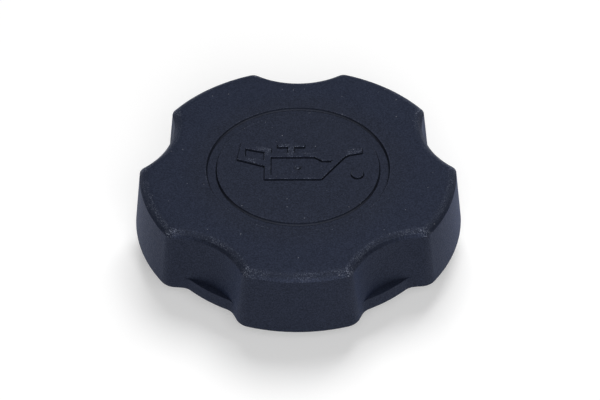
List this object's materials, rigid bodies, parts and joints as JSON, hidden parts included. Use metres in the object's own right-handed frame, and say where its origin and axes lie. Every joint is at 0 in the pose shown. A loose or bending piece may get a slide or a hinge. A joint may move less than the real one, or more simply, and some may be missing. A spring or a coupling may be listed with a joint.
{
  "type": "oil filler cap",
  "caption": "Low lobed screw cap for an engine's oil filler neck: a moulded grip with finger scallops and a hollow plug, sealed by a flat rubber ring under the grip.",
  "frame": {"origin": "on the cap's axis, level with the lower edge of the grip", "axes": "+Z along the axis, out of the filler neck; a scallop faces +Y and a lobe faces -Y"},
  "size_m": [0.07, 0.0683, 0.021],
  "materials": {
    "moulded_plastic": "black plastic with a fine eroded grain",
    "seal_rubber": "smooth black rubber"
  },
  "bodies": {
    "root": {"cap_body": "moulded_plastic", "sealing_ring": "seal_rubber"}
  },
  "joints": []
}
